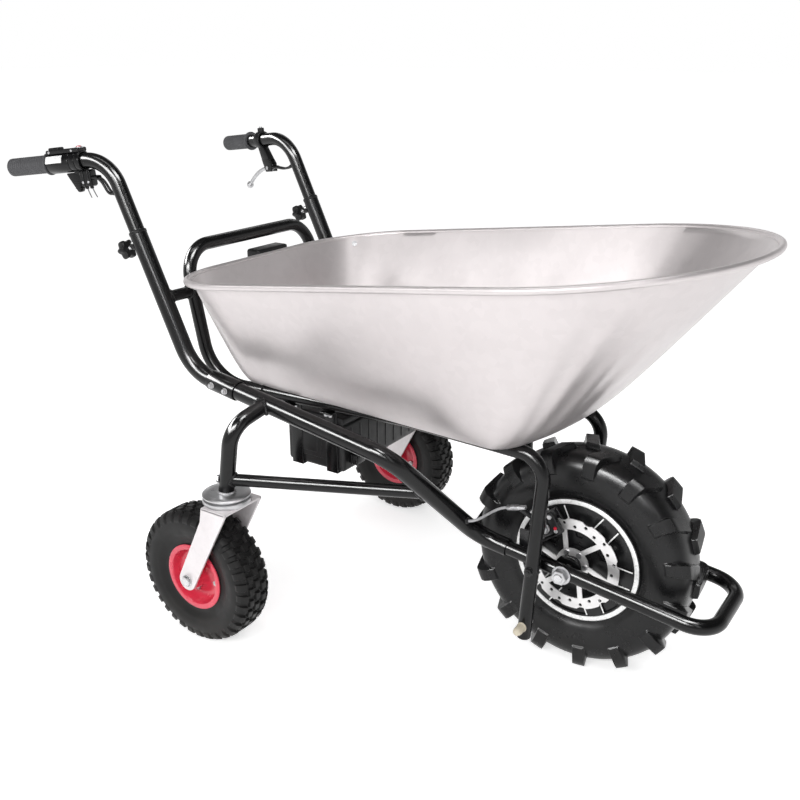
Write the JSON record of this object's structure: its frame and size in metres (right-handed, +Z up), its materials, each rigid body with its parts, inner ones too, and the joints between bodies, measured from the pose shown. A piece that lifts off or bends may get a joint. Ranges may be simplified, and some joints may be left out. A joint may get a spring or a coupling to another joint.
{
  "type": "powered wheelbarrow",
  "caption": "Three-wheeled powered wheelbarrow: pressed steel tray on a bent tube frame, hub-motor front wheel with lugged tyre and disc brake, swivel casters and telescopic handles.",
  "frame": {"origin": "on the ground under the middle of the overall box", "axes": "+X forward to the driven wheel, +Y to the left, +Z up"},
  "size_m": [1.3508, 0.766, 0.8764],
  "materials": {
    "frame_black": "gloss",
    "galvanised": "satin",
    "zinc": "satin",
    "tyre": "matte",
    "red_paint": "gloss",
    "red_plastic": "gloss",
    "disc_steel": "satin",
    "cast_aluminium": "satin",
    "friction": "matte",
    "cable": "satin",
    "bearing_steel": "satin",
    "copper": "satin",
    "rim_aluminium": "satin",
    "hub_black": "gloss",
    "black_plastic": "satin",
    "blue_wrap": "satin",
    "grip_rubber": "matte"
  },
  "bodies": {
    "frame": {"tray": "galvanised", "frame_bolts": "zinc", "right_main_tube": "frame_black", "left_main_tube": "frame_black", "front_loop": "frame_black", "right_rail": "frame_black", "left_rail": "frame_black", "rear_hoop": "frame_black", "hoop_stubs": "frame_black", "caster_legs": "frame_black", "tie_tubes": "frame_black", "cross_bars": "frame_black", "right_handle_post": "frame_black", "left_handle_post": "frame_black", "joint_sleeves": "frame_black", "axle_plates": "frame_black", "wheel_axle": "zinc", "axle_nuts": "zinc", "motor_stator": "copper", "caliper_body": "cast_aluminium", "brake_pads": "friction", "brake_cable": "cable", "battery_cradle": "frame_black", "battery_case": "black_plastic", "battery_pack": "blue_wrap", "controller_box": "black_plastic", "key_box": "black_plastic", "caster_stems": "zinc"},
    "front_wheel": {"front_tyre": "tyre", "wheel_rim": "rim_aluminium", "right_hub_cover": "hub_black", "left_hub_cover": "hub_black", "hub_bearings": "bearing_steel", "magnet_ring": "bearing_steel", "brake_disc": "disc_steel", "disc_bolts": "zinc"},
    "caliper_arm": {"caliper_arm": "zinc"},
    "right_caster": {"right_caster_fork": "zinc", "right_caster_axle": "zinc"},
    "left_caster": {"left_caster_fork": "zinc", "left_caster_axle": "zinc"},
    "right_caster_wheel": {"right_caster_tyre": "tyre", "right_caster_rim": "red_paint", "right_caster_bearings": "bearing_steel"},
    "left_caster_wheel": {"left_caster_tyre": "tyre", "left_caster_rim": "red_paint", "left_caster_bearings": "bearing_steel"},
    "right_handle": {"right_handle_bar": "frame_black", "right_grip": "grip_rubber", "throttle_housing": "black_plastic", "right_cables": "cable"},
    "throttle": {"throttle_paddle": "black_plastic"},
    "button": {"red_button": "red_plastic"},
    "left_handle": {"left_handle_bar": "frame_black", "left_grip": "grip_rubber", "brake_perch": "black_plastic", "left_cables": "cable"},
    "lever": {"brake_lever": "cast_aluminium"},
    "right_knob": {"right_knob": "black_plastic"},
    "left_knob": {"left_knob": "black_plastic"}
  },
  "joints": [
    {"name": "front_wheel_spin", "type": "hinge", "parent": "frame", "child": "front_wheel", "pos_m": [0.40841, 0, 0.205], "axis": [0, 1, 0], "continuous": true},
    {"name": "right_caster_swivel", "type": "hinge", "parent": "frame", "child": "right_caster", "pos_m": [-0.13459, -0.329, 0.297], "axis": [0, 0, 1], "continuous": true},
    {"name": "right_caster_roll", "type": "hinge", "parent": "right_caster", "child": "right_caster_wheel", "pos_m": [-0.20159, -0.329, 0.13], "axis": [0, 1, 0], "continuous": true},
    {"name": "right_handle_slide", "type": "slide", "parent": "frame", "child": "right_handle", "axis": [-0.4258, 0, 0.9048], "range_m": [-0.05, 0.07]},
    {"name": "right_knob_turn", "type": "hinge", "parent": "frame", "child": "right_knob", "pos_m": [-0.38388, -0.25, 0.71202], "axis": [-0.9048, 0, -0.4258], "range_deg": [0, 360]},
    {"name": "left_caster_swivel", "type": "hinge", "parent": "frame", "child": "left_caster", "pos_m": [-0.13459, 0.329, 0.297], "axis": [0, 0, 1], "continuous": true},
    {"name": "left_caster_roll", "type": "hinge", "parent": "left_caster", "child": "left_caster_wheel", "pos_m": [-0.20159, 0.329, 0.13], "axis": [0, 1, 0], "continuous": true},
    {"name": "left_handle_slide", "type": "slide", "parent": "frame", "child": "left_handle", "axis": [-0.4258, 0, 0.9048], "range_m": [-0.05, 0.07]},
    {"name": "left_knob_turn", "type": "hinge", "parent": "frame", "child": "left_knob", "pos_m": [-0.38388, 0.25, 0.71202], "axis": [-0.9048, 0, -0.4258], "range_deg": [0, 360]},
    {"name": "brake_lever_pull", "type": "hinge", "parent": "left_handle", "child": "lever", "pos_m": [-0.51359, 0.26268, 0.78586], "axis": [0.2004, 0.9797, 0], "range_deg": [0, 25], "stiffness_Nm_per_rad": 2},
    {"name": "caliper_arm_turn", "type": "hinge", "parent": "frame", "child": "caliper_arm", "pos_m": [0.36084, -0.072, 0.26813], "axis": [0, -1, 0], "range_deg": [0, 20]},
    {"name": "throttle_press", "type": "hinge", "parent": "right_handle", "child": "throttle", "pos_m": [-0.52081, -0.26416, 0.84742], "axis": [0.9728, 0.199, 0.1189], "range_deg": [0, 35], "stiffness_Nm_per_rad": 0.6},
    {"name": "red_button_press", "type": "slide", "parent": "right_handle", "child": "button", "axis": [0.1165, 0.0238, -0.9929], "range_m": [0, 0.003], "stiffness_N_per_m": 800}
  ],
  "couplings": [
    {"joint": "caliper_arm_turn", "follows": "brake_lever_pull", "ratio": 0.8}
  ]
}
